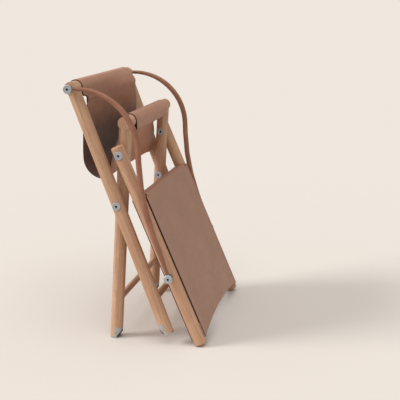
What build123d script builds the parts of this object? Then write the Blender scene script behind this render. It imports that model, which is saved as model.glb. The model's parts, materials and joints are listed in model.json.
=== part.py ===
"""Folding armchair of round oak rods and saddle leather, folded flat and standing.

Two crossing leg frames, a hinged back frame and two bent, leather-covered arms
make a collapsible chair. The inner frame carries the rear seat bar, the outer
frame the front seat bar, and a leather sling hangs between the two bars.

Frame: X across the chair (+X is the sitter's left), -Y towards the front, +Z up.
All sizes in millimetres.
"""
import os
from math import atan2, cos, degrees, radians, sin, tan

from build123d import *

# ---------------------------------------------------------------- driving dimensions
ROD_R = 19.0                # legs, back rails and seat bars are one dowel size
STRETCHER_R = 10.0
INNER_X = 217.5             # centre plane of the inner legs
OUTER_X = 258.5             # centre plane of the outer legs and of the back rails
ARM_X = 293.0               # centre plane of the arms

INNER_LEAN = 5.5            # degrees from upright, top towards the rear
OUTER_LEAN = 19.0           # top towards the front
BACK_LEAN = 21.2            # rails hang down and towards the rear
FOLD_TRAVEL = 84.0          # how far the outer frame opens about the leg pivot

LEG_PIVOT_UP = 424.0        # along the inner leg from its foot
BACK_PIVOT_UP = 573.0
REAR_BAR_UP = 661.0
FRONT_BAR_UP = 361.0        # along the outer leg from the leg pivot
OUTER_FOOT_DOWN = 409.0
ARM_JOINT_DOWN = 381.0      # along the back rail from the back pivot
RAIL_TOP_UP = 27.0
INNER_STRETCHER_UP = 118.0
OUTER_STRETCHER_DOWN = 300.0

ROUND_END = 5.0             # softened rod ends
SOCKET_DEPTH = 14.0         # stretcher ends sit this deep in the legs
PEG_R = 6.0                 # wooden pegs between legs and seat bars
PEG_DOWN = 42.0
PEG_UP = 8.0

PIVOT_R = 5.0               # shanks of the leg and back pivots
ARM_BOLT_R = 4.0
RUN_CLEAR = 0.05            # radial running clearance of every pivot
FACE_CLEAR = 0.3            # axial clearance beside every turning piece
DISC_R = 12.5
DISC_T = 4.5
SEAT_R = 13.25              # spot faces under the discs
DISC_SEAT = 2.5             # depth of an outer spot face
WASHER_SEAT = 1.5           # depth of the spot faces between the rods
KEY_FLAT = 6.0              # hexagon socket in a bolt head, across its corners
KEY_DEPTH = 3.0
RING_R = 8.6                # turned ring on a disc
RING_W = 0.8
RING_DEPTH = 0.5
DISC_CHAMFER = 0.8

ARM_R = 7.5                 # outside of the leather cover
ARM_CORE_R = 4.5
EYE_R = 10.0
COVER_START = 10.5          # the cover starts this far from a pivot
ARM_LEAD = 20.0             # level stretch behind the front arm bolt
ARM_TOP_BEND = 175.0
ARM_LOW_BEND = 700.0
ARM_LOW_LEAN = 18.0
SPACER_R = 9.0
INSERT_R = 8.0
INSERT_DEPTH = 14.0
OPEN_PIVOT_GAP = 0.5        # between the rear arm joint and the rail

SHOE_H = 34.0
SHOE_WALL = 1.6
SHOE_PLATE = 4.0
SHOE_OVER = 1.5             # the shoe covers a little more than half the leg
PAD_T = 3.5
FACET_START = 5.5           # the slanted sole starts this far from the leg's axis

LEATHER = 3.0
LEATHER_CLEAR = 0.3
BACK_FROM = 130.0           # leather of the back, along the rail from its pivot
BACK_TO = 590.0
BACK_HOLLOW = 20.0          # its lower edge is cut hollow
BACK_FOLD_R = 9.0           # the sheet is folded over at the top
BACK_CORNER = 16.0          # the fold is cut away beside each rail

SLING_HALF = 235.0          # half width of the seat sling
SLING_NECK_HALF = 178.0     # half width where it passes between the inner legs
SLING_SHOULDER_HALF = 198.0
SLING_BULGE = 7.0           # the front fall runs this far forward of its bar
SLING_FALL_Z = 591.0
SLING_BOTTOM_Z = 499.0
SLING_FOLD_AHEAD = 61.0     # the tight fold lies this far in front of the rear bar
SLING_FALL_BEND = 800.0
SLING_BOTTOM_BEND = 58.0
SLING_FOLD_BEND = 5.0
SLING_NARROW_Z = 559.0      # the rear fall narrows from here up
SLING_SHOULDER_Z = 611.0
SLING_NECK_Z = 641.0
SLING_FLAP = 26.0           # free flap behind the rear bar
NOTCH_HALF = 200.0          # hand notch under the front bar
NOTCH_LOW_Z = 700.0
NOTCH_HIGH_Z = 739.0

DEPTH_CENTRE = 95.55        # moves the origin to the middle of the folded depth


# ---------------------------------------------------------------- side-plane points
def along(start, lean, distance):
    """Point at a distance up a line that leans towards the rear by lean degrees."""
    return (start[0] + distance * sin(radians(lean)), start[1] + distance * cos(radians(lean)))


FOOT = (-DEPTH_CENTRE, 0.0)
LEG_PIVOT = along(FOOT, INNER_LEAN, LEG_PIVOT_UP)
BACK_PIVOT = along(FOOT, INNER_LEAN, BACK_PIVOT_UP)
REAR_BAR = along(FOOT, INNER_LEAN, REAR_BAR_UP)
FRONT_BAR = along(LEG_PIVOT, -OUTER_LEAN, FRONT_BAR_UP)
ARM_JOINT = along(BACK_PIVOT, -BACK_LEAN, -ARM_JOINT_DOWN)

# The inner foot's end plate is raised so that the edge of its sole meets the floor.
INNER_END = FACET_START * tan(radians(INNER_LEAN))
# The back rail ends where its rounded lower edge meets the floor.
RAIL_END = ROUND_END + (
    BACK_PIVOT[1] - ROUND_END - (ROD_R - ROUND_END) * sin(radians(BACK_LEAN))
) / cos(radians(BACK_LEAN))


def open_floor_angle():
    """Slope of the floor, in the inner frame, once the chair is fully open."""
    end = along(LEG_PIVOT, -OUTER_LEAN, -OUTER_FOOT_DOWN)
    edge = along(end, 90.0 - OUTER_LEAN, -FACET_START)
    reach = (edge[0] - LEG_PIVOT[0], edge[1] - LEG_PIVOT[1])
    turn = radians(FOLD_TRAVEL)
    opened = (
        LEG_PIVOT[0] + reach[0] * cos(turn) - reach[1] * sin(turn),
        LEG_PIVOT[1] + reach[0] * sin(turn) + reach[1] * cos(turn),
    )
    inner_edge = FOOT[0] + FACET_START / cos(radians(INNER_LEAN))
    return degrees(atan2(opened[1], opened[0] - inner_edge))


INNER_SOLE = INNER_LEAN + open_floor_angle()
OUTER_SOLE = OUTER_LEAN + FOLD_TRAVEL - open_floor_angle()


# ---------------------------------------------------------------- building blocks
def rod_plane(x, point, lean):
    """Local frame of a rod: Z up along it, Y towards the rear, X across the chair."""
    z_dir = (0, sin(radians(lean)), cos(radians(lean)))
    return Plane(origin=(x, point[0], point[1]), x_dir=(1, 0, 0), z_dir=z_dir)


def upright(radius, low, high):
    """Cylinder along local Z."""
    return Pos(0, 0, (low + high) / 2) * Cylinder(radius, high - low)


def crosswise(radius, x_low, x_high, y=0.0, z=0.0):
    """Cylinder along X."""
    return Pos((x_low + x_high) / 2, y, z) * Rot(0, 90, 0) * Cylinder(radius, x_high - x_low)


def at(point, radius, x_low, x_high):
    """Cylinder along X at a side-plane point."""
    return crosswise(radius, x_low, x_high, point[0], point[1])


def rounded_rod(low, high, both_ends=False):
    """Dowel with its low end softened, and its high end too where asked."""
    rod = upright(ROD_R, low, high)
    rims = rod.edges().filter_by(GeomType.CIRCLE).sort_by(Axis.Z)
    return fillet(rims if both_ends else rims[:1], ROUND_END)


def disc(x_inner, point, keyed):
    """Turned steel disc facing outwards, with a ring and, on a bolt, a hexagon socket."""
    x_outer = x_inner + DISC_T
    body = at(point, DISC_R, x_inner, x_outer)
    rim = body.edges().filter_by(GeomType.CIRCLE).sort_by(Axis.X)[-1]
    body = chamfer(rim, DISC_CHAMFER)
    ring = at(point, RING_R + RING_W, x_outer - RING_DEPTH, x_outer)
    body -= ring - at(point, RING_R, x_outer - RING_DEPTH, x_outer)
    if keyed:
        face = Plane(origin=(x_outer, point[0], point[1]), x_dir=(0, 1, 0), z_dir=(-1, 0, 0))
        body -= extrude(face * RegularPolygon(KEY_FLAT / 2, 6), KEY_DEPTH)
    return body


def both_sides(part):
    """The left-hand piece and its mirror image."""
    return {"left": part, "right": mirror(part, about=Plane.YZ)}


def save(name, part):
    """Write one sub-part."""
    export_step(part, f"parts/{name}.step")


def save_pair(name, part):
    """Write the left and right copies of a sub-part."""
    for side, piece in both_sides(part).items():
        save(f"{name}_{side}", piece)


# ---------------------------------------------------------------- feet
def sole_cut(end, slope, side):
    """Half space beyond the slanted sole of a leg; side is +1 rear, -1 front."""
    block = 4 * ROD_R
    wedge = Box(block, block, block, align=(Align.CENTER, Align.CENTER, Align.MAX))
    return Pos(0, side * FACET_START, end) * Rot(side * slope, 0, 0) * wedge


def shoe_and_pad(end, slope, side):
    """Metal shoe and rubber sole of one leg, in the leg's local frame."""
    shell = upright(ROD_R, end, end + SHOE_H) - upright(ROD_R - SHOE_WALL, end, end + SHOE_H)
    keep = Box(2 * ROD_R, 2 * ROD_R, 2 * SHOE_H)
    half = Pos(0, side * (ROD_R - SHOE_OVER), end) * keep
    shoe = (shell & half) + upright(ROD_R, end, end + SHOE_PLATE)
    inward = sin(radians(slope)) * PAD_T
    up = cos(radians(slope)) * PAD_T
    raised = Pos(0, -side * inward, up) * sole_cut(end, slope, side)
    pad = (upright(ROD_R, end, end + SHOE_H) & raised) - sole_cut(end, slope, side)
    pad -= upright(ROD_R, end - SHOE_PLATE, end + SHOE_PLATE)
    shoe -= raised - upright(ROD_R, end - SHOE_PLATE, end + SHOE_PLATE)
    shoe -= sole_cut(end, slope, side)
    return shoe, pad


def shod_rod(end, top, slope, side):
    """Leg with its shoe and sole let into the wood."""
    shoe, pad = shoe_and_pad(end, slope, side)
    rod = upright(ROD_R, end, top) - sole_cut(end, slope, side) - shoe - pad
    return rod, shoe, pad


# ---------------------------------------------------------------- inner frame
def inner_frame():
    """Two inner legs, rear seat bar, stretcher, pegs, shoes and the pivot hardware."""
    plane = rod_plane(INNER_X, FOOT, INNER_LEAN)
    rod, shoe, pad = shod_rod(INNER_END, REAR_BAR_UP, INNER_SOLE, 1)
    rod -= crosswise(ROD_R, -ROD_R, ROD_R, z=REAR_BAR_UP)
    for height in (LEG_PIVOT_UP, BACK_PIVOT_UP):
        rod -= crosswise(PIVOT_R, -ROD_R, ROD_R, z=height)
        rod -= crosswise(SEAT_R, -ROD_R, DISC_SEAT - ROD_R, z=height)
        rod -= crosswise(SEAT_R, ROD_R - WASHER_SEAT, ROD_R, z=height)
    rod -= crosswise(STRETCHER_R, -ROD_R, SOCKET_DEPTH - ROD_R, z=INNER_STRETCHER_UP)
    peg = upright(PEG_R, REAR_BAR_UP - PEG_DOWN, REAR_BAR_UP + PEG_UP)
    rod -= peg
    save_pair("inner_leg", plane * rod)
    save_pair("inner_shoe", plane * shoe)
    save_pair("inner_foot_pad", plane * pad)

    bar_end = INNER_X + ROD_R
    pegs = list(both_sides(plane * peg).values())
    bar = at(REAR_BAR, ROD_R, -bar_end, bar_end)
    save("rear_seat_bar", bar - pegs[0] - pegs[1])
    save("rear_bar_pegs", Compound(children=pegs))

    reach = INNER_X - ROD_R + SOCKET_DEPTH
    stretcher = along(FOOT, INNER_LEAN, INNER_STRETCHER_UP)
    save("inner_stretcher", at(stretcher, STRETCHER_R, -reach, reach))

    for name, point in (("leg_pivot", LEG_PIVOT), ("back_pivot", BACK_PIVOT)):
        pivot_hardware(name, point)


def pivot_hardware(name, point):
    """Bolt, washer and inner disc of one pivot; they are fixed to the inner leg."""
    head_x = OUTER_X + ROD_R - DISC_SEAT + FACE_CLEAR
    nut_face = INNER_X - ROD_R + DISC_SEAT
    shank_end = nut_face - DISC_T / 2
    shank = at(point, PIVOT_R, shank_end, head_x)
    save_pair(f"{name}_bolt", disc(head_x, point, True) + shank)

    nut = mirror(disc(-nut_face, point, False), about=Plane.YZ)
    save_pair(f"{name}_nut", nut - shank)

    washer_in = INNER_X + ROD_R - WASHER_SEAT
    washer_out = OUTER_X - ROD_R + WASHER_SEAT - FACE_CLEAR
    save_pair(f"{name}_washer", at(point, DISC_R, washer_in, washer_out) - shank)


# ---------------------------------------------------------------- outer frame
def outer_frame():
    """Two outer legs, front seat bar, stretcher, pegs, shoes and front arm bolts."""
    plane = rod_plane(OUTER_X, LEG_PIVOT, -OUTER_LEAN)
    rod, shoe, pad = shod_rod(-OUTER_FOOT_DOWN, FRONT_BAR_UP, OUTER_SOLE, -1)
    rod -= crosswise(ROD_R, -ROD_R, ROD_R, z=FRONT_BAR_UP)
    rod -= crosswise(PIVOT_R + RUN_CLEAR, -ROD_R, ROD_R)
    rod -= crosswise(SEAT_R, ROD_R - DISC_SEAT, ROD_R)
    rod -= crosswise(SEAT_R, -ROD_R, WASHER_SEAT - ROD_R)
    rod -= crosswise(STRETCHER_R, -ROD_R, SOCKET_DEPTH - ROD_R, z=-OUTER_STRETCHER_DOWN)
    peg = upright(PEG_R, FRONT_BAR_UP - PEG_DOWN, FRONT_BAR_UP - ARM_BOLT_R)
    rod -= peg
    save_pair("outer_leg", plane * rod)
    save_pair("outer_shoe", plane * shoe)
    save_pair("outer_foot_pad", plane * pad)

    bar_end = OUTER_X + ROD_R
    bolt_end = OUTER_X - ROD_R
    pegs = list(both_sides(plane * peg).values())
    bar = at(FRONT_BAR, ROD_R, -bar_end, bar_end)
    for side in (1, -1):
        bar -= at(FRONT_BAR, ARM_BOLT_R, *sorted((side * bolt_end, side * bar_end)))
    save("front_seat_bar", bar - pegs[0] - pegs[1])
    save("front_bar_pegs", Compound(children=pegs))

    reach = OUTER_X - ROD_R + SOCKET_DEPTH
    stretcher = along(LEG_PIVOT, -OUTER_LEAN, -OUTER_STRETCHER_DOWN)
    save("outer_stretcher", at(stretcher, STRETCHER_R, -reach, reach))

    head_x = ARM_X + ARM_R + FACE_CLEAR
    shank = at(FRONT_BAR, ARM_BOLT_R, bolt_end, head_x)
    save_pair("arm_front_bolt", disc(head_x, FRONT_BAR, True) + shank)
    spacer = at(FRONT_BAR, SPACER_R, bar_end, ARM_X - ARM_R - FACE_CLEAR)
    save_pair("arm_front_spacer", spacer - shank)


# ---------------------------------------------------------------- back frame
def back_frame():
    """Two back rails with the leather back stretched over their inner halves."""
    plane = rod_plane(OUTER_X, BACK_PIVOT, -BACK_LEAN)
    rail = rounded_rod(-RAIL_END, RAIL_TOP_UP, both_ends=True)
    rail -= crosswise(PIVOT_R + RUN_CLEAR, -ROD_R, ROD_R)
    rail -= crosswise(SEAT_R, ROD_R - DISC_SEAT, ROD_R)
    rail -= crosswise(SEAT_R, -ROD_R, WASHER_SEAT - ROD_R)
    insert = crosswise(INSERT_R, ROD_R - INSERT_DEPTH, ROD_R, z=-ARM_JOINT_DOWN)
    rail -= insert
    insert -= crosswise(ARM_BOLT_R, ROD_R - INSERT_DEPTH, ROD_R, z=-ARM_JOINT_DOWN)
    save_pair("back_rail", plane * rail)
    save_pair("arm_insert", plane * insert)

    middle = rod_plane(0, BACK_PIVOT, -BACK_LEAN)
    inside = ROD_R + LEATHER_CLEAR
    corner_x = OUTER_X - ROD_R - LEATHER_CLEAR
    right = [(OUTER_X, -BACK_TO), (OUTER_X, -BACK_FROM - BACK_CORNER)]
    right += [(corner_x, -BACK_FROM - BACK_CORNER), (corner_x, -BACK_FROM)]
    left = [(-x, z) for x, z in reversed(right)]
    hollow = ThreePointArc(left[-1], (0, BACK_HOLLOW - BACK_TO), right[0])
    outline = make_face([*Polyline(*right, *left).edges(), hollow])
    sheet = extrude(Plane.XZ * outline, inside + LEATHER, both=True)
    sheet = fillet(sheet.edges().filter_by(Axis.X).group_by(Axis.Z)[-1], BACK_FOLD_R)
    top = -BACK_FROM - LEATHER
    gap = Pos(0, 0, (top - RAIL_END) / 2) * Box(2 * OUTER_X, 2 * inside, top + RAIL_END)
    sheet -= fillet(gap.edges().filter_by(Axis.X).group_by(Axis.Z)[-1], BACK_FOLD_R - LEATHER)
    save("back_leather", middle * sheet)


# ---------------------------------------------------------------- arms
def arm_route(trim):
    """Centre line of an arm from the front bolt to the rear joint, cut back by trim."""
    start = (ARM_X, FRONT_BAR[0] + trim, FRONT_BAR[1])
    drop_y = FRONT_BAR[0] + ARM_LEAD + ARM_TOP_BEND
    knee_z = ARM_JOINT[1] + (ARM_JOINT[0] - drop_y) / tan(radians(ARM_LOW_LEAN))
    end = along(ARM_JOINT, -ARM_LOW_LEAN, trim)
    points = [start, (ARM_X, drop_y, FRONT_BAR[1]), (ARM_X, drop_y, knee_z), (ARM_X, *end)]
    return FilletPolyline(*points, radius=[ARM_TOP_BEND, ARM_LOW_BEND])


def swept(route, radius):
    """Round bar along a route."""
    return sweep(Plane(origin=route @ 0, z_dir=route % 0) * Circle(radius), path=route)


def arms():
    """Bent steel core with an eye at each end, its leather cover and the rear joint."""
    inner, outer = ARM_X - ARM_R, ARM_X + ARM_R
    core = swept(arm_route(EYE_R / 2), ARM_CORE_R)
    for point in (FRONT_BAR, ARM_JOINT):
        core += at(point, EYE_R, inner, outer)
    bore = {FRONT_BAR: ARM_BOLT_R + RUN_CLEAR, ARM_JOINT: ARM_BOLT_R}
    for point, radius in bore.items():
        core -= at(point, radius, inner, outer)
    save_pair("arm_core", core)
    save_pair("arm_cover", swept(arm_route(COVER_START), ARM_R) - core)

    rail_face = OUTER_X + ROD_R + OPEN_PIVOT_GAP
    shank = at(ARM_JOINT, ARM_BOLT_R, rail_face, outer)
    save_pair("arm_rear_bolt", disc(outer, ARM_JOINT, True) + shank)
    save_pair("arm_rear_spacer", at(ARM_JOINT, SPACER_R, rail_face, inner) - shank)


# ---------------------------------------------------------------- seat sling
def sling():
    """Seat leather hanging folded between its two bars, with a sleeve round each bar."""
    wrap_in = ROD_R + LEATHER_CLEAR
    wrap_out = wrap_in + LEATHER
    middle = wrap_in + LEATHER / 2
    fall_y = FRONT_BAR[0] + middle - SLING_BULGE
    fold_y = REAR_BAR[0] - SLING_FOLD_AHEAD
    route = FilletPolyline(
        (FRONT_BAR[0] + middle, FRONT_BAR[1]),
        (fall_y, SLING_FALL_Z),
        (fall_y, SLING_BOTTOM_Z),
        (fold_y, SLING_BOTTOM_Z),
        (REAR_BAR[0] - middle, REAR_BAR[1]),
        radius=[SLING_FALL_BEND, SLING_BOTTOM_BEND, SLING_FOLD_BEND],
    )
    flap_top = (REAR_BAR[0] + middle, REAR_BAR[1])
    flap = trace(Line(flap_top, (flap_top[0], flap_top[1] - SLING_FLAP)), LEATHER)
    sleeve = Circle(wrap_out) - Circle(wrap_in)
    leather = extrude(Plane.YZ * trace(route, LEATHER), SLING_HALF, both=True)
    leather += extrude(Plane.YZ * (Pos(*FRONT_BAR) * sleeve), SLING_HALF, both=True)
    rear_sleeve = Plane.YZ * (Pos(*REAR_BAR) * sleeve + flap)
    leather += extrude(rear_sleeve, SLING_NECK_HALF, both=True)

    far = SLING_HALF + LEATHER
    neck = [
        (far, SLING_NARROW_Z),
        (SLING_HALF, SLING_NARROW_Z),
        (SLING_SHOULDER_HALF, SLING_SHOULDER_Z),
        (SLING_NECK_HALF, SLING_NECK_Z),
        (SLING_NECK_HALF, FRONT_BAR[1]),
        (far, FRONT_BAR[1]),
    ]
    neck_cut = extrude(Pos(0, fold_y, 0) * Plane.XZ * make_face(Polyline(*neck, close=True)), -ROD_R * 5)
    notch_size = (far - NOTCH_HALF, SLING_HALF, NOTCH_HIGH_Z - NOTCH_LOW_Z)
    notch_centre = ((far + NOTCH_HALF) / 2, FRONT_BAR[0], (NOTCH_HIGH_Z + NOTCH_LOW_Z) / 2)
    notch_cut = Pos(*notch_centre) * Box(*notch_size)
    for cut in (neck_cut, notch_cut):
        for piece in both_sides(cut).values():
            leather -= piece
    save("seat_sling", leather)


if __name__ == "__main__":
    os.makedirs("parts", exist_ok=True)
    inner_frame()
    outer_frame()
    back_frame()
    arms()
    sling()
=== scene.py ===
import json
import math

import bpy
import numpy as np
from mathutils import Matrix, Vector, noise


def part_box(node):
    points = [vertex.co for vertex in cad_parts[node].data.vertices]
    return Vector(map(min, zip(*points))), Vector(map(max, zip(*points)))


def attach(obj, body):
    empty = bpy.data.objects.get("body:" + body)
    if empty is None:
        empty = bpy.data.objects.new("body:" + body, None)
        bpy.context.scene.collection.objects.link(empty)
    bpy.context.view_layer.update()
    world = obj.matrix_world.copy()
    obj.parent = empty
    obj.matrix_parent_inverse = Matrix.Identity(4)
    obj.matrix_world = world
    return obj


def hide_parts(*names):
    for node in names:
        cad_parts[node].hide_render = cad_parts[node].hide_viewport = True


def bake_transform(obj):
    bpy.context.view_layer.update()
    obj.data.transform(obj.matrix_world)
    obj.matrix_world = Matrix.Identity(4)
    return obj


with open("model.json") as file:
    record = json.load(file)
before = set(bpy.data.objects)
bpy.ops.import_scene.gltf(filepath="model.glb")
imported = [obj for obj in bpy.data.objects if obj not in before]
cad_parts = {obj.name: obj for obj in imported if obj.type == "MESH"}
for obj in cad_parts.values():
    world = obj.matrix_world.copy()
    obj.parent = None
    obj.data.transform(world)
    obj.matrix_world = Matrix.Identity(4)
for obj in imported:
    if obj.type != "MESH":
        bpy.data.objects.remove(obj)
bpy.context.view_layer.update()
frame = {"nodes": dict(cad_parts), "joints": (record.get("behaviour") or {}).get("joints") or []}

MM = 0.001
NODES = frame["nodes"]
JOINTS = {j["name"]: j for j in frame["joints"]}

# ------------------------------------------------------------------ places from the frame


def centre(node):
    """Middle of a CAD node's box, as (x, y, z)."""
    low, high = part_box(node)
    return (low + high) / 2


def side_point(v):
    """A point's place in the side plane, as (y, z)."""
    return np.array([v[1], v[2]], float)


FRONT_BAR = side_point(centre("front_seat_bar"))
REAR_BAR = side_point(centre("rear_seat_bar"))
ROD_R = (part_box("front_seat_bar")[1].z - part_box("front_seat_bar")[0].z) / 2
LEG_PIVOT = side_point(JOINTS["fold"]["pos_m"])
BACK_PIVOT = side_point(JOINTS["back_hinge"]["pos_m"])
ARM_FRONT = side_point(JOINTS["left_arm_hinge"]["pos_m"])
ARM_REAR = side_point(centre("arm_rear_bolt_left"))
ARM_X = JOINTS["left_arm_hinge"]["pos_m"][0]
RAIL_X = centre("back_rail_left").x
SLING_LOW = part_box("seat_sling")[0].z
SLING_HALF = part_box("seat_sling")[1].x


def lean_of(low, high):
    """Lean of the line from one side-plane point up to another, towards the rear, in radians."""
    return math.atan2(high[0] - low[0], high[1] - low[1])


INNER_LEAN = lean_of(LEG_PIVOT, REAR_BAR)
OUTER_LEAN = lean_of(LEG_PIVOT, FRONT_BAR)
BACK_LEAN = lean_of(ARM_REAR, BACK_PIVOT)

# ------------------------------------------------------------------ material helpers


def linear(rgb):
    """An sRGB colour from 0 to 255 as linear RGBA."""
    out = []
    for c in rgb:
        c /= 255
        out.append(c / 12.92 if c <= 0.04045 else ((c + 0.055) / 1.055) ** 2.4)
    return (*out, 1.0)


def scaled(rgb, share):
    """A colour with each channel times share."""
    return [c * share for c in rgb]


class Nodes:
    """Short calls for building one material's node tree."""

    def __init__(self, name):
        self.material = bpy.data.materials.new(name)
        self.material.use_nodes = True
        self.tree = self.material.node_tree
        self.shader = self.tree.nodes["Principled BSDF"]

    def put(self, target, value):
        if isinstance(value, bpy.types.NodeSocket):
            self.tree.links.new(value, target)
        else:
            target.default_value = value

    def node(self, kind, settings=None, **inputs):
        made = self.tree.nodes.new(kind)
        for key, value in (settings or {}).items():
            setattr(made, key, value)
        for key, value in inputs.items():
            self.put(made.inputs[key.replace("_", " ")], value)
        return made

    def math(self, operation, a, b=None, clamp=False):
        made = self.tree.nodes.new("ShaderNodeMath")
        made.operation = operation
        made.use_clamp = clamp
        self.put(made.inputs[0], a)
        if b is not None:
            self.put(made.inputs[1], b)
        return made.outputs[0]

    def noise(self, vector, scale, detail=2.0, roughness=0.5):
        settings = {"Vector": vector, "Scale": scale, "Detail": detail, "Roughness": roughness}
        return self.node("ShaderNodeTexNoise", **settings).outputs["Fac"]

    def length(self, vector):
        made = self.node("ShaderNodeVectorMath", {"operation": "LENGTH"}, Vector=vector)
        return made.outputs["Value"]

    def stretched(self, vector, scale):
        return self.node("ShaderNodeMapping", Vector=vector, Scale=scale).outputs[0]

    def ramp(self, value, stops):
        made = self.node("ShaderNodeValToRGB", Fac=value)
        elements = made.color_ramp.elements
        while len(elements) < len(stops):
            elements.new(0.5)
        for element, (place, colour) in zip(elements, stops):
            element.position = place
            element.color = colour
        return made.outputs["Color"]

    def grey_ramp(self, value, low, high, start=0.0, end=1.0):
        stops = [(low, (start, start, start, 1)), (high, (end, end, end, 1))]
        return self.ramp(value, stops)

    def mix(self, factor, a, b, blend="MIX"):
        made = self.tree.nodes.new("ShaderNodeMix")
        made.data_type = "RGBA"
        made.blend_type = blend
        self.put(made.inputs["Factor"], factor)
        self.put(made.inputs[6], a)
        self.put(made.inputs[7], b)
        return made.outputs[2]

    def bump(self, height, distance, strength=1.0, normal=None):
        made = self.node("ShaderNodeBump", Height=height, Distance=distance, Strength=strength)
        if normal is not None:
            self.put(made.inputs["Normal"], normal)
        return made.outputs[0]

    def finish(self, **inputs):
        for key, value in inputs.items():
            self.put(self.shader.inputs[key.replace("_", " ")], value)
        return self.material


# ------------------------------------------------------------------ wood


OAK_LIGHT = (222, 190, 163)
OAK_MIDDLE = (199, 163, 135)
OAK_DARK = (168, 129, 101)
OAK_PORE = (104, 70, 48)
RING_PITCH = 3.1 * MM


def oak(name, turn, seed, tint=1.0):
    """Oiled oak whose grain runs along local Z once the frame is turned by the Euler angles."""
    n = Nodes(name)
    place = n.node("ShaderNodeTexCoord").outputs["Object"]
    turned = n.node("ShaderNodeMapping", Vector=place, Rotation=turn).outputs[0]
    offset = (0.043 + 0.011 * seed, 0.031 - 0.017 * seed, 0.37 * seed)
    board = n.node("ShaderNodeMapping", Vector=turned, Location=offset).outputs[0]

    wander = n.noise(n.stretched(board, (9.0, 9.0, 2.2)), 1.0, 3.0)
    wander = n.math("MULTIPLY", n.math("SUBTRACT", wander, 0.5), 0.016)
    parts = n.node("ShaderNodeSeparateXYZ", Vector=board)
    across = n.node("ShaderNodeCombineXYZ", X=parts.outputs[0], Y=parts.outputs[1])
    radius = n.math("ADD", n.length(across.outputs[0]), wander)
    phase = n.math("MULTIPLY", radius, 1 / RING_PITCH)
    ring = n.math("FRACT", phase)
    early = n.grey_ramp(ring, 0.0, 0.45, 1.0, 0.0)

    fibre = n.noise(n.stretched(board, (1400.0, 1400.0, 34.0)), 1.0, 4.0, 0.62)
    streak = n.noise(n.stretched(board, (230.0, 230.0, 5.0)), 1.0, 3.0)
    pore = n.noise(n.stretched(board, (2600.0, 2600.0, 95.0)), 1.0, 1.0)
    pore = n.grey_ramp(pore, 0.60, 0.70)
    pore = n.math("MULTIPLY", pore, n.math("ADD", n.math("MULTIPLY", early, 0.8), 0.2))
    fleck = n.noise(n.stretched(board, (420.0, 70.0, 60.0)), 1.0, 2.0)
    fleck = n.grey_ramp(fleck, 0.62, 0.74)
    cloud = n.noise(n.stretched(board, (14.0, 14.0, 4.0)), 1.0, 2.0)

    light = linear(scaled(OAK_LIGHT, tint))
    middle = linear(scaled(OAK_MIDDLE, tint))
    dark = linear(scaled(OAK_DARK, tint))
    tone = n.math("ADD", n.math("MULTIPLY", streak, 0.42), n.math("MULTIPLY", fibre, 0.58))
    colour = n.ramp(tone, [(0.34, dark), (0.50, middle), (0.66, light)])
    colour = n.mix(n.math("MULTIPLY", early, 0.15), colour, dark)
    colour = n.mix(n.math("MULTIPLY", pore, 0.55), colour, linear(OAK_PORE))
    colour = n.mix(n.math("MULTIPLY", fleck, 0.30), colour, light)
    warm = n.ramp(cloud, [(0.3, linear((232, 214, 204))), (0.7, linear((255, 250, 244)))])
    colour = n.mix(1.0, colour, warm, "MULTIPLY")

    relief = n.math("SUBTRACT", n.math("MULTIPLY", fibre, 0.5), pore)
    rough = n.grey_ramp(fibre, 0.3, 0.7, 0.42, 0.58)
    return n.finish(Base_Color=colour, Roughness=rough, Normal=n.bump(relief, 0.00012, 0.7))


def lean_turn(lean):
    """Turn that brings a rod leaning towards the rear upright."""
    return (lean, 0.0, 0.0)


CROSSWISE = (0.0, -math.pi / 2, 0.0)
WOOD = {
    "inner_leg_left": (lean_turn(INNER_LEAN), 1, 1.0),
    "inner_leg_right": (lean_turn(INNER_LEAN), 2, 0.98),
    "outer_leg_left": (lean_turn(OUTER_LEAN), 3, 1.0),
    "outer_leg_right": (lean_turn(OUTER_LEAN), 4, 0.97),
    "back_rail_left": (lean_turn(BACK_LEAN), 5, 1.01),
    "back_rail_right": (lean_turn(BACK_LEAN), 6, 0.98),
    "front_seat_bar": (CROSSWISE, 7, 1.02),
    "rear_seat_bar": (CROSSWISE, 8, 1.01),
    "inner_stretcher": (CROSSWISE, 9, 0.97),
    "outer_stretcher": (CROSSWISE, 10, 0.96),
}

# ------------------------------------------------------------------ leather


def leather(name, base, deep, bright, grain=1.0, rough=(0.42, 0.58)):
    """Grain side of saddle leather; its coordinates are the sheet's own, in metres."""
    n = Nodes(name)
    flat = n.node("ShaderNodeTexCoord").outputs["UV"]
    cells = n.node("ShaderNodeTexVoronoi", {"feature": "F1"}, Vector=flat, Scale=720.0, Randomness=0.95)
    creases = n.grey_ramp(cells.outputs["Distance"], 0.25, 0.75)
    fine = n.noise(flat, 2600.0, 3.0, 0.6)
    broad = n.noise(flat, 9.0, 4.0, 0.55)
    patch = n.noise(flat, 55.0, 3.0, 0.5)
    veins = n.noise(n.stretched(flat, (26.0, 11.0, 1.0)), 1.0, 5.0, 0.6)
    veins = n.grey_ramp(n.math("ABSOLUTE", n.math("SUBTRACT", veins, 0.5)), 0.0, 0.016, 1.0, 0.0)

    tone = n.math("ADD", n.math("MULTIPLY", broad, 0.7), n.math("MULTIPLY", patch, 0.3))
    colour = n.ramp(tone, [(0.33, linear(deep)), (0.50, linear(base)), (0.67, linear(bright))])
    colour = n.mix(n.math("MULTIPLY", creases, 0.10), colour, linear(deep))
    colour = n.mix(n.math("MULTIPLY", veins, 0.10), colour, linear(deep))

    height = n.math("ADD", n.math("MULTIPLY", creases, -1.0), n.math("MULTIPLY", fine, 0.5))
    normal = n.bump(height, 0.00016 * grain, 0.8)
    normal = n.bump(veins, -0.0002 * grain, 0.35, normal)
    roughness = n.grey_ramp(patch, 0.3, 0.7, *rough)
    coat = {"Coat_Weight": 0.08, "Coat_Roughness": 0.35}
    return n.finish(Base_Color=colour, Roughness=roughness, Normal=normal, **coat)


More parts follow.
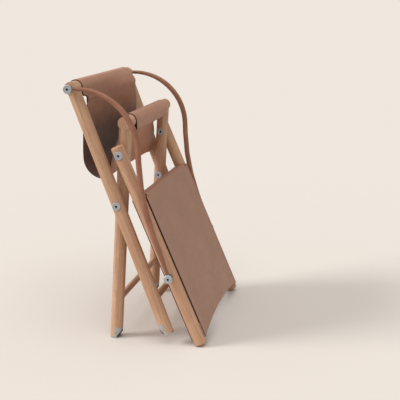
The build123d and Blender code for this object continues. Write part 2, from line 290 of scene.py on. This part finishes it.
def flesh_side(name, base, deep, bend=None):
    """Brushed back of the leather: matt, fibrous and a little mottled.

    bend gives the colour's share at places along the sheet. It paints in the shade of a deep fold,
    which the lights alone leave too pale.
    """
    n = Nodes(name)
    flat = n.node("ShaderNodeTexCoord").outputs["UV"]
    fibre = n.noise(n.stretched(flat, (900.0, 1500.0, 1.0)), 1.0, 4.0, 0.65)
    mottle = n.noise(flat, 34.0, 4.0, 0.6)
    tone = n.math("ADD", n.math("MULTIPLY", fibre, 0.35), n.math("MULTIPLY", mottle, 0.65))
    colour = n.ramp(tone, [(0.36, linear(deep)), (0.64, linear(base))])
    if bend is not None:
        length = n.node("ShaderNodeSeparateXYZ", Vector=flat).outputs[1]
        colour = n.mix(1.0, colour, n.ramp(length, bend), "MULTIPLY")
    return n.finish(Base_Color=colour, Roughness=0.86, Normal=n.bump(fibre, 0.0003, 0.8), Sheen_Weight=0.12)


def cut_edge(name, colour):
    """Burnished cut edge of the leather."""
    n = Nodes(name)
    place = n.node("ShaderNodeTexCoord").outputs["Object"]
    fibre = n.noise(place, 900.0, 3.0, 0.6)
    tone = n.ramp(fibre, [(0.35, linear(scaled(colour, 0.75))), (0.65, linear(scaled(colour, 1.2)))])
    return n.finish(Base_Color=tone, Roughness=0.5, Normal=n.bump(fibre, 0.0002, 0.6))


def thread(name, colour):
    """Waxed linen thread, twisted."""
    n = Nodes(name)
    place = n.node("ShaderNodeTexCoord").outputs["Object"]
    strand = n.noise(place, 3200.0, 2.0)
    tone = n.ramp(strand, [(0.35, linear(scaled(colour, 0.8))), (0.65, linear(colour))])
    return n.finish(Base_Color=tone, Roughness=0.6, Normal=n.bump(strand, 0.0001, 0.7))


# ------------------------------------------------------------------ metal and rubber


def turned_steel(name, node, colour, rough):
    """Steel faced on a lathe, with rings about the pivot's own axis, and painted shade that takes the
    middle of the face to near black for a centre hole.
    """
    n = Nodes(name)
    y, z = side_point(centre(node))
    place = n.node("ShaderNodeTexCoord").outputs["Object"]
    moved = n.node("ShaderNodeMapping", Vector=place, Location=(0.0, -y, -z)).outputs[0]
    parts = n.node("ShaderNodeSeparateXYZ", Vector=moved)
    across = n.node("ShaderNodeCombineXYZ", X=parts.outputs[1], Y=parts.outputs[2])
    radius = n.length(across.outputs[0])
    ring = n.node("ShaderNodeCombineXYZ", X=n.math("MULTIPLY", radius, 2600.0)).outputs[0]
    rings = n.noise(ring, 1.0, 3.0, 0.6)
    handling = n.noise(place, 160.0, 4.0, 0.6)
    # Painted shade: within about 3.5 mm of the axis the colour goes to near black, standing in for the
    # shade inside a centre hole.
    hub = n.grey_ramp(n.math("MULTIPLY", radius, 100.0), 0.33, 0.37, 0.02, 1.0)
    tone = n.ramp(handling, [(0.3, linear(scaled(colour, 0.84))), (0.7, linear(colour))])
    tone = n.mix(1.0, tone, hub, "MULTIPLY")
    roughness = n.grey_ramp(rings, 0.3, 0.7, rough - 0.08, rough + 0.10)
    return n.finish(Base_Color=tone, Metallic=0.6, Roughness=roughness, Normal=n.bump(rings, 0.00006, 0.6))


def blasted_metal(name, colour, metallic, rough):
    """Bead-blasted or drawn metal with faint handling marks."""
    n = Nodes(name)
    place = n.node("ShaderNodeTexCoord").outputs["Object"]
    grit = n.noise(place, 2400.0, 3.0, 0.6)
    marks = n.noise(place, 85.0, 5.0, 0.65)
    tone = n.ramp(marks, [(0.32, linear(scaled(colour, 0.82))), (0.66, linear(colour))])
    roughness = n.grey_ramp(marks, 0.3, 0.7, rough + 0.06, rough - 0.08)
    relief = n.bump(grit, 0.00008, 0.6)
    return n.finish(Base_Color=tone, Metallic=metallic, Roughness=roughness, Normal=relief)


def rubber(name):
    """Moulded black rubber."""
    n = Nodes(name)
    place = n.node("ShaderNodeTexCoord").outputs["Object"]
    grit = n.noise(place, 1500.0, 3.0, 0.6)
    tone = n.ramp(grit, [(0.3, linear((24, 24, 25))), (0.7, linear((40, 40, 41)))])
    return n.finish(Base_Color=tone, Roughness=0.78, Normal=n.bump(grit, 0.00012, 0.7))


# ------------------------------------------------------------------ mesh helpers


def baked(name, obj):
    """The object's mesh with its modifiers applied, as a new object."""
    mesh = bpy.data.meshes.new_from_object(obj.evaluated_get(bpy.context.evaluated_depsgraph_get()))
    mesh.name = name
    made = bpy.data.objects.new(name, mesh)
    bpy.context.scene.collection.objects.link(made)
    bpy.data.objects.remove(obj)
    return made


def leather_sheet(name, middle, lengths, widths, thickness, materials, cut_out=None):
    """Closed leather sheet from its middle surface.

    middle is a grid of points [along][across]; lengths and widths give each point's place on the flat
    cut, in metres. materials are one side's, the other side's and the cut edge's. cut_out marks
    the cells of the grid that are cut away.
    """
    rows, columns = middle.shape[:2]
    mesh = bpy.data.meshes.new(name + "_middle")
    cells = [(i, j) for i in range(rows - 1) for j in range(columns - 1)]
    if cut_out is not None:
        cells = [cell for cell in cells if not cut_out[cell]]
    corners = [[(i, j), (i, j + 1), (i + 1, j + 1), (i + 1, j)] for i, j in cells]
    used = sorted({corner for four in corners for corner in four})
    place = {corner: k for k, corner in enumerate(used)}
    faces = [[place[corner] for corner in four] for four in corners]
    mesh.from_pydata([tuple(middle[corner]) for corner in used], [], faces)
    flat = mesh.uv_layers.new(name="flat")
    for loop in mesh.loops:
        corner = used[loop.vertex_index]
        flat.data[loop.index].uv = (widths[corner], lengths[corner])
    for material in materials:
        mesh.materials.append(material)
    obj = bpy.data.objects.new(name + "_middle", mesh)
    bpy.context.scene.collection.objects.link(obj)
    solid = obj.modifiers.new("thickness", "SOLIDIFY")
    solid.thickness = thickness
    solid.offset = 0.0
    solid.use_even_offset = True
    solid.material_offset = 1
    solid.material_offset_rim = 2
    bevel = obj.modifiers.new("edges", "BEVEL")
    bevel.width = thickness * 0.22
    bevel.segments = 2
    bevel.limit_method = "ANGLE"
    bevel.angle_limit = math.radians(50)
    made = baked(name, obj)
    for polygon in made.data.polygons:
        polygon.use_smooth = True
    return made


def arc(middle, radius, start, end, step=6.0):
    """Side-plane points along a circle, from one angle to another, in degrees."""
    count = max(2, int(abs(end - start) / step) + 1)
    angles = np.radians(np.linspace(start, end, count))
    return [np.array(middle) + radius * np.array([math.cos(a), math.sin(a)]) for a in angles]


def rounded(points, radii):
    """Polyline with its inner corners rounded; radii has one value per inner corner."""
    out = [np.array(points[0], float)]
    for before, corner, after, radius in zip(points, points[1:], points[2:], radii):
        before, corner, after = (np.array(p, float) for p in (before, corner, after))
        a = (before - corner) / np.linalg.norm(before - corner)
        b = (after - corner) / np.linalg.norm(after - corner)
        half = math.acos(max(-1.0, min(1.0, float(a @ b)))) / 2
        start = corner + a * radius / math.tan(half)
        end = corner + b * radius / math.tan(half)
        hub = corner + (a + b) / np.linalg.norm(a + b) * radius / math.sin(half)
        first = math.atan2(*(start - hub)[::-1])
        sweep = (math.atan2(*(end - hub)[::-1]) - first + math.pi) % (2 * math.pi) - math.pi
        for share in np.linspace(0, 1, max(4, int(abs(math.degrees(sweep)) / 5))):
            angle = first + sweep * share
            out.append(hub + radius * np.array([math.cos(angle), math.sin(angle)]))
    out.append(np.array(points[-1], float))
    return out


def resampled(points, step):
    """The same line with evenly spaced points, and each one's distance from the start."""
    points = np.array(points, float)
    gaps = np.linalg.norm(np.diff(points, axis=0), axis=1)
    keep = np.r_[True, gaps > 1e-7]
    points = points[keep]
    along = np.r_[0, np.cumsum(np.linalg.norm(np.diff(points, axis=0), axis=1))]
    where = np.linspace(0, along[-1], max(2, int(along[-1] / step)))
    line = np.stack([np.interp(where, along, points[:, k]) for k in range(points.shape[1])], axis=1)
    return line, where


def smooth(value, low, high):
    """0 below low, 1 above high, easing between."""
    t = np.clip((value - low) / (high - low), 0, 1)
    return t * t * (3 - 2 * t)


def stitches(name, points, normals, pitch, size, material, sink=0.2):
    """A row of thread stitches laid along a line of points on a surface."""
    points = np.array(points, float)
    along = np.r_[0, np.cumsum(np.linalg.norm(np.diff(points, axis=0), axis=1))]
    verts, faces = [], []
    sides, rings = 6, 5
    for k in range(int((along[-1] - pitch) / pitch) + 1):
        ends = [(k + 0.14) * pitch, (k + 0.86) * pitch]
        a, b = (np.array([np.interp(s, along, points[:, c]) for c in range(3)]) for s in ends)
        middle = sum(ends) / 2
        up = np.array([np.interp(middle, along, np.array(normals)[:, c]) for c in range(3)])
        up /= np.linalg.norm(up)
        ahead = (b - a) / np.linalg.norm(b - a)
        aside = np.cross(up, ahead)
        base = len(verts)
        for r in range(rings):
            share = r / (rings - 1)
            swell = math.sin(math.pi * (0.12 + 0.76 * share))
            hub = a + (b - a) * share + up * size * (0.9 * swell - 0.35 - sink)
            for q in range(sides):
                turn = 2 * math.pi * q / sides
                spoke = aside * math.cos(turn) + up * math.sin(turn)
                verts.append(tuple(hub + size * swell * 0.9 * spoke))
        for r in range(rings - 1):
            for q in range(sides):
                n1 = base + r * sides + q
                n2 = base + r * sides + (q + 1) % sides
                faces.append((n1, n2, n2 + sides, n1 + sides))
        faces.append(tuple(base + q for q in reversed(range(sides))))
        faces.append(tuple(base + (rings - 1) * sides + q for q in range(sides)))
    mesh = bpy.data.meshes.new(name)
    mesh.from_pydata(verts, [], faces)
    mesh.materials.append(material)
    for polygon in mesh.polygons:
        polygon.use_smooth = True
    made = bpy.data.objects.new(name, mesh)
    bpy.context.scene.collection.objects.link(made)
    return made


# ------------------------------------------------------------------ seat sling

SHEET = 3.0 * MM
WRAP = ROD_R + 0.3 * MM + SHEET / 2
NECK_HALF = 178 * MM
FALL_BULGE = 7 * MM
FOLD_AHEAD = 61 * MM
# The left end is cut away in a notch under the front bar. The right end's notch is shallow,
# and that end curls towards the rear.
LEFT_NOTCH = 45 * MM
RIGHT_NOTCH = 10 * MM
RIGHT_CURL = 23 * MM
SEAM_PITCH = 6.5 * MM


def sling_profile():
    """Side-plane line of the seat leather, from the seam under the front bar to the seam under the rear."""
    fall_y = FRONT_BAR[0] + WRAP - FALL_BULGE
    low = SLING_LOW + SHEET / 2
    tail = [FRONT_BAR + np.array(p) * MM for p in ((16.2, -50.0), (16.6, -31.0))]
    leave = arc(FRONT_BAR, WRAP, 247.0, 0.0)
    start = rounded([*tail, leave[0]], [4.0 * MM])
    fall = rounded(
        [
            leave[-1],
            (fall_y, FRONT_BAR[1] - 172 * MM),
            (fall_y, low),
            (REAR_BAR[0] - FOLD_AHEAD, low),
            REAR_BAR + np.array([-WRAP, 0.0]),
        ],
        [800 * MM, 58 * MM, 5 * MM],
    )
    over = arc(REAR_BAR, WRAP, 180.0, 0.0)
    under = [REAR_BAR + np.array(p) * MM for p in ((20.8, -27.0), (-26.0, -37.0), (-30.5, -54.0))]
    end = rounded([over[-1], *under], [5.5 * MM, 5.0 * MM])
    return [*start, *leave, *fall, *over, *end]


def sling_half(line):
    """Reach of the seat leather to the left and to the right at each point of its profile."""
    y, z = line[:, 0], line[:, 1]
    middle = (FRONT_BAR[0] + REAR_BAR[0] - FOLD_AHEAD) / 2
    front = y < middle
    below = FRONT_BAR[1] - z
    scoop = smooth(below, 19 * MM, 31 * MM) * (1 - smooth(below, 44 * MM, 84 * MM))
    hanging = front & (y > FRONT_BAR[0] + ROD_R * 0.5)
    notch = np.where(hanging, scoop, 0.0)
    neck = smooth(z, REAR_BAR[1] - 104 * MM, REAR_BAR[1] - 22 * MM)
    narrowed = SLING_HALF + (NECK_HALF - SLING_HALF) * neck
    left = np.where(front, SLING_HALF - LEFT_NOTCH * notch, narrowed)
    right = np.where(front, SLING_HALF - RIGHT_NOTCH * notch, narrowed)
    return left, right


def build_sling(materials, thread_material):
    """Seat leather with a stitched loop round each bar."""
    line, along = resampled(sling_profile(), 4.2 * MM)
    left, right = sling_half(line)
    tangent = np.gradient(line, axis=0)
    tangent /= np.linalg.norm(tangent, axis=1)[:, None]
    normal = np.stack([tangent[:, 1], -tangent[:, 0]], axis=1)
    below = FRONT_BAR[1] - line[:, 1]
    below_rear = REAR_BAR[1] - line[:, 1]
    free = smooth(below, 62 * MM, 120 * MM) * smooth(below_rear, 40 * MM, 90 * MM)
    fall = (line[:, 0] > FRONT_BAR[0]) & (line[:, 0] < FRONT_BAR[0] + 40 * MM)
    hang = np.where(fall, smooth(below, -20 * MM, 30 * MM) * (1 - smooth(below, 110 * MM, 190 * MM)), 0.0)
    columns = 65
    share = np.linspace(-1, 1, columns)
    middle = np.zeros((len(line), columns, 3))
    widths = np.zeros((len(line), columns))
    for j, t in enumerate(share):
        x = (left if t > 0 else right) * t
        swell = np.array([noise.noise(Vector((x[i] * 5.0, along[i] * 6.0, 3.7))) for i in range(len(line))])
        ripple = free * (3.2 * MM * swell - 2.2 * MM * (1 - t * t) + 2.5 * MM * abs(t) ** 6)
        middle[:, j, 0] = x
        curl = RIGHT_CURL * smooth(-x / SLING_HALF, -0.3, 0.95) * hang
        middle[:, j, 1] = line[:, 0] + normal[:, 0] * ripple + curl
        middle[:, j, 2] = line[:, 1] + normal[:, 1] * ripple
        widths[:, j] = x
    lengths = np.repeat(along[:, None], columns, axis=1)
    sling = leather_sheet("seat_leather", middle, lengths, widths, SHEET, materials)
    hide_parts("seat_sling")

    rows = []
    for name, first, reach in (
        ("seam_front_bar", FRONT_BAR + np.array([21.2, -41.0]) * MM, 193 * MM),
        ("seam_rear_bar", REAR_BAR + np.array([-27.3, -47.0]) * MM, 170 * MM),
    ):
        points = [(x, first[0], first[1]) for x in np.linspace(-reach, reach, 90)]
        normals = [(0.0, 1.0, 0.0)] * len(points)
        rows.append(stitches(name, points, normals, SEAM_PITCH, 0.55 * MM, thread_material))
    for piece in (sling, *rows):
        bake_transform(piece)


# ------------------------------------------------------------------ back leather

BACK_FROM = 130 * MM
BACK_TO = 590 * MM
BACK_HOLLOW = 20 * MM
BACK_FOLD_R = 10.5 * MM
WING_TOP = 4 * MM
EDGE_LIFT = 1.8 * MM


def build_back(materials):
    """Leather folded over at the top, with a wing on each side over the rear and front of a rail."""
    down = np.array([-math.sin(BACK_LEAN), -math.cos(BACK_LEAN)])
    rear = np.array([math.cos(BACK_LEAN), -math.sin(BACK_LEAN)])
    half_gap = ROD_R + 0.3 * MM + SHEET / 2
    top = BACK_FROM + SHEET / 2
    outline = rounded(
        [(-half_gap, BACK_TO), (-half_gap, top), (half_gap, top), (half_gap, BACK_TO)],
        [BACK_FOLD_R, BACK_FOLD_R],
    )
    line, along = resampled(outline, 3.0 * MM)
    slit = RAIL_X - ROD_R - 0.8 * MM
    wing_columns = np.linspace(slit, RAIL_X, 6)
    across = np.r_[-wing_columns[::-1], np.linspace(-slit, slit, 55)[1:-1], wing_columns]
    middle = np.zeros((len(line), len(across), 3))
    widths = np.repeat(across[None, :], len(line), axis=0)
    lengths = np.repeat(along[:, None], len(across), axis=1)
    cut_out = np.zeros((len(line) - 1, len(across) - 1), bool)
    fold_end = top + BACK_FOLD_R
    flat_rows = line[:, 1] >= fold_end
    rear_start = along[flat_rows & (line[:, 0] > 0)][0]
    front_start = along[flat_rows & (line[:, 0] < 0)][-1]
    for i, (t, s) in enumerate(line):
        for j, x in enumerate(across):
            wing = abs(x) > slit + 0.1 * MM
            if wing and not flat_rows[i]:
                past = rear_start - along[i] if t > 0 else along[i] - front_start
                t_here, s_here = math.copysign(half_gap, t), fold_end - past
            else:
                t_here, s_here = t, s
            share = x / RAIL_X
            stretch = (s_here - top) / (BACK_TO - top)
            reach = s_here - BACK_HOLLOW * (1 - share * share) * stretch
            slack = (1 - share * share) * math.sin(math.pi * min(1.0, max(0.0, stretch) * 0.9 + 0.1))
            swell = noise.noise(Vector((x * 4.0, reach * 3.0, 11.0 + t_here * 20)))
            pull = 3.5 * MM * slack + 1.6 * MM * swell * (1 - share * share)
            pull *= math.copysign(smooth(abs(t_here), 8 * MM, half_gap), t_here)
            lift = EDGE_LIFT * smooth(abs(x), slit, RAIL_X) * (1.0 if t_here > 0 else -0.3)
            p = BACK_PIVOT + down * reach + rear * (t_here - pull + lift)
            middle[i, j] = (x, p[0], p[1])
    for i in range(len(line) - 1):
        for j in range(len(across) - 1):
            outer = max(abs(across[j]), abs(across[j + 1]))
            if outer < slit + 0.1 * MM or (flat_rows[i] and flat_rows[i + 1]):
                continue
            joins_fold = min(abs(across[j]), abs(across[j + 1])) < slit + 0.1 * MM
            heights = [fold_end - max(0.0, min(rear_start - a, a - front_start)) for a in along[i : i + 2]]
            cut_out[i, j] = joins_fold or min(heights) < BACK_FROM + WING_TOP
    back = leather_sheet("back_leather_sheet", middle, lengths, widths, SHEET, materials, cut_out)
    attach(back, "backrest")
    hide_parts("back_leather")


# ------------------------------------------------------------------ arms

ARM_LEAD = 20 * MM
ARM_TOP_BEND = 175 * MM
ARM_LOW_BEND = 700 * MM
ARM_LOW_LEAN = math.radians(18.0)
ARM_TRIM = 10.5 * MM
ARM_END_R = 5.4 * MM
ARM_SWELL = 2.7 * MM
ARM_FLAT_R = 7.5 * MM
ARM_SIDES = 28


def arm_line():
    """Side-plane line of an arm from its front eye to its rear eye."""
    drop_y = ARM_FRONT[0] + ARM_LEAD + ARM_TOP_BEND
    knee_z = ARM_REAR[1] + (ARM_REAR[0] - drop_y) / math.tan(ARM_LOW_LEAN)
    end = ARM_REAR + ARM_TRIM * np.array([-math.sin(ARM_LOW_LEAN), math.cos(ARM_LOW_LEAN)])
    corners = [
        (ARM_FRONT[0] + ARM_TRIM, ARM_FRONT[1]),
        (drop_y, ARM_FRONT[1]),
        (drop_y, knee_z),
        end,
    ]
    return resampled(rounded(corners, [ARM_TOP_BEND, ARM_LOW_BEND]), 4.0 * MM)


def build_arm(side, name, materials, thread_material):
    """Leather sewn round a bent steel core, with the seam on the inner side of the bend."""
    line, along = arm_line()
    tangent = np.gradient(line, axis=0)
    tangent /= np.linalg.norm(tangent, axis=1)[:, None]
    outward = np.stack([-tangent[:, 1], tangent[:, 0]], axis=1)
    total = along[-1]
    plump = ARM_END_R + ARM_SWELL * smooth(along, 0.0, 0.16) * smooth(total - along, 0.0, 0.10)
    plump *= 1 - 0.45 * (1 - smooth(np.minimum(along, total - along), 0.0, 3.0 * MM))
    sides = ARM_SIDES
    verts, faces, flat = [], [], []
    for i, (p, o, r) in enumerate(zip(line, outward, plump)):
        for q in range(sides):
            turn = 2 * math.pi * q / sides
            seam = math.exp(-((turn % (2 * math.pi) - math.pi) / 0.16) ** 2)
            reach = r * (1 + 0.05 * seam)
            radial = -math.cos(turn) * reach
            across = math.sin(turn) * reach * 0.92
            verts.append((side * (ARM_X + across), p[0] + o[0] * radial, p[1] + o[1] * radial))
            flat.append((turn * ARM_FLAT_R, along[i]))
    for i in range(len(line) - 1):
        for q in range(sides):
            a = i * sides + q
            b = i * sides + (q + 1) % sides
            faces.append((a, b, b + sides, a + sides) if side > 0 else (a + sides, b + sides, b, a))
    ends = [tuple(range(sides)), tuple(len(verts) - sides + q for q in range(sides))]
    first, last = (ends[0][::-1], ends[1]) if side > 0 else (ends[0], ends[1][::-1])
    faces += [first, last]
    mesh = bpy.data.meshes.new(name)
    mesh.from_pydata(verts, [], faces)
    layer = mesh.uv_layers.new(name="flat")
    for polygon in mesh.polygons:
        us = [flat[v][0] for v in polygon.vertices]
        wraps = max(us) - min(us) > 20 * MM and len(us) == 4
        for loop in polygon.loop_indices:
            u, v = flat[mesh.loops[loop].vertex_index]
            layer.data[loop].uv = (u + (2 * math.pi * ARM_FLAT_R if wraps and u < 20 * MM else 0), v)
        polygon.use_smooth = len(us) == 4
        polygon.material_index = 0 if len(us) == 4 else 1
    for material in materials:
        mesh.materials.append(material)
    cover = bpy.data.objects.new(name, mesh)
    bpy.context.scene.collection.objects.link(cover)
    hand = "left" if side > 0 else "right"
    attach(cover, f"{hand}_arm")
    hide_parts(f"arm_cover_{hand}")

    inside = slice(3, -3)
    points, normals = [], []
    for p, o, r in zip(line[inside], outward[inside], plump[inside]):
        points.append((side * ARM_X, p[0] - o[0] * r * 1.05, p[1] - o[1] * r * 1.05))
        normals.append((0.0, -o[0], -o[1]))
    row = stitches(name + "_seam", points, normals, 6.0 * MM, 0.5 * MM, thread_material)
    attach(row, f"{hand}_arm")


# ------------------------------------------------------------------ dressing the carried-over nodes


def dress(node, material):
    """Gives a carried-over CAD node one material."""
    mesh = NODES[node].data
    mesh.materials.clear()
    mesh.materials.append(material)


def dress_all():
    for node, (turn, seed, tint) in WOOD.items():
        dress(node, oak("oak_" + node, turn, seed, tint))
    beech = oak("beech_pegs", lean_turn(INNER_LEAN), 11, 1.04)
    steel = {}
    for node in NODES:
        if "pegs" in node:
            dress(node, beech)
        elif node.endswith(("bolt_left", "bolt_right", "nut_left", "nut_right")):
            stem = node.rsplit("_", 1)[0]
            if stem not in steel:
                steel[stem] = turned_steel("steel_" + stem, node, (194, 200, 206), 0.40)
            dress(node, steel[stem])
    drawn = blasted_metal("drawn_steel", (168, 172, 176), 0.9, 0.34)
    blasted = blasted_metal("blasted_alloy", (186, 189, 189), 0.45, 0.5)
    sole = rubber("sole_rubber")
    for node in NODES:
        if "washer" in node or "spacer" in node or "arm_core" in node or "insert" in node:
            dress(node, drawn)
        elif "shoe" in node:
            dress(node, blasted)
        elif "foot_pad" in node:
            dress(node, sole)


# ------------------------------------------------------------------ stage, light and camera


PAPER = (240, 231, 222)
WORLD_GLOW = 0.60
FLOOR_LOW = (0.66, 0.62, 0.584, 1.0)
FLOOR_HIGH = (0.68, 0.64, 0.604, 1.0)
# Each light's name, the direction it comes from, its strength and its angle in degrees.
SOFT_BOXES = (
    ("key", (0.42, -1.3, 0.85), 2.15, 24.0),
    ("top", (0.55, 0.18, 1.4), 1.35, 60.0),
)


def build_stage():
    """Pale floor that fades into a plain pale surround, with soft light from the left and from above."""
    bpy.ops.mesh.primitive_circle_add(vertices=96, radius=4.0, fill_type="NGON")
    floor = bpy.context.object
    floor.name = "floor"
    n = Nodes("floor_paper")
    place = n.node("ShaderNodeTexCoord").outputs["Object"]
    far = n.length(place)
    speckle = n.noise(place, 300.0, 2.0)
    tone = n.ramp(speckle, [(0.3, FLOOR_LOW), (0.7, FLOOR_HIGH)])
    alpha = n.grey_ramp(n.math("MULTIPLY", far, 0.25), 0.16, 0.62, 1.0, 0.0)
    floor.data.materials.append(n.finish(Base_Color=tone, Roughness=0.9, Alpha=alpha))

    world = bpy.data.worlds.new("surround")
    bpy.context.scene.world = world
    world.use_nodes = True
    tree = world.node_tree
    paper = tree.nodes["Background"]
    paper.inputs["Color"].default_value = linear(PAPER)
    glow = tree.nodes.new("ShaderNodeBackground")
    glow.inputs["Color"].default_value = linear((240, 235, 228))
    glow.inputs["Strength"].default_value = WORLD_GLOW
    path = tree.nodes.new("ShaderNodeLightPath")
    either = tree.nodes.new("ShaderNodeMixShader")
    tree.links.new(path.outputs["Is Camera Ray"], either.inputs[0])
    tree.links.new(glow.outputs[0], either.inputs[1])
    tree.links.new(paper.outputs[0], either.inputs[2])
    tree.links.new(either.outputs[0], tree.nodes["World Output"].inputs["Surface"])

    for name, source, energy, softness in SOFT_BOXES:
        data = bpy.data.lights.new(name, "SUN")
        data.energy = energy
        data.angle = math.radians(softness)
        data.color = (1.0, 0.985, 0.965)
        light = bpy.data.objects.new(name, data)
        bpy.context.scene.collection.objects.link(light)
        light.rotation_euler = (-Vector(source)).to_track_quat("-Z", "Y").to_euler()

    bpy.context.scene.view_settings.view_transform = "Standard"
    bpy.context.scene.view_settings.look = "None"


CAMERA_PLACE = (2.6433, 0.7187, 0.9892)
CAMERA_YAW, CAMERA_PITCH, CAMERA_ROLL = (math.radians(a) for a in (12.521, 12.631, -1.807))
FOCAL = 79.172
SENSOR = 36.0


def build_camera():
    """Camera at the photograph's viewing angle."""
    back = Vector(
        (
            math.cos(CAMERA_PITCH) * math.cos(CAMERA_YAW),
            math.cos(CAMERA_PITCH) * math.sin(CAMERA_YAW),
            math.sin(CAMERA_PITCH),
        )
    )
    right = Vector((0, 0, 1)).cross(back).normalized()
    up = back.cross(right)
    rolled_right = right * math.cos(CAMERA_ROLL) + up * math.sin(CAMERA_ROLL)
    rolled_up = up * math.cos(CAMERA_ROLL) - right * math.sin(CAMERA_ROLL)
    camera = bpy.data.objects.new("camera", bpy.data.cameras.new("camera"))
    camera.data.lens = FOCAL
    camera.data.sensor_width = SENSOR
    turned = Matrix((rolled_right, rolled_up, back)).transposed()
    camera.matrix_world = Matrix.Translation(CAMERA_PLACE) @ turned.to_4x4()
    bpy.context.scene.collection.objects.link(camera)
    bpy.context.scene.camera = camera


# ------------------------------------------------------------------ build

edge = cut_edge("leather_cut_edge", (52, 32, 24))
linen = thread("linen_thread", (128, 92, 74))
dress_all()
seat_grain = leather("seat_grain", (186, 132, 104), (176, 122, 94), (194, 141, 113))
# Painted-in shade along the seat leather: place in metres from the front seam, and share of colour.
seat_painted_shade = [
    (0.13, (1.0, 1.0, 1.0, 1)),
    (0.20, (0.82, 0.68, 0.54, 1)),
    (0.27, (0.46, 0.42, 0.42, 1)),
    (0.34, (0.28, 0.28, 0.30, 1)),
    (0.46, (0.36, 0.34, 0.35, 1)),
    (0.60, (1.0, 1.0, 1.0, 1)),
]
seat_flesh = flesh_side("seat_flesh", (178, 130, 104), (162, 115, 91), seat_painted_shade)
back_flesh = flesh_side("back_flesh", (170, 120, 94), (150, 102, 78))
build_sling([seat_flesh, seat_grain, edge], linen)
back_grain = leather("back_grain", (159, 116, 94), (153, 110, 89), (165, 122, 100))
build_back([back_grain, back_flesh, edge])
arm_grain = leather("arm_grain", (146, 96, 72), (126, 79, 58), (162, 112, 88), 0.8, (0.34, 0.5))
for arm_side, arm_name in ((1, "arm_cover_sewn_left"), (-1, "arm_cover_sewn_right")):
    build_arm(arm_side, arm_name, [arm_grain, edge], linen)
build_stage()
build_camera()
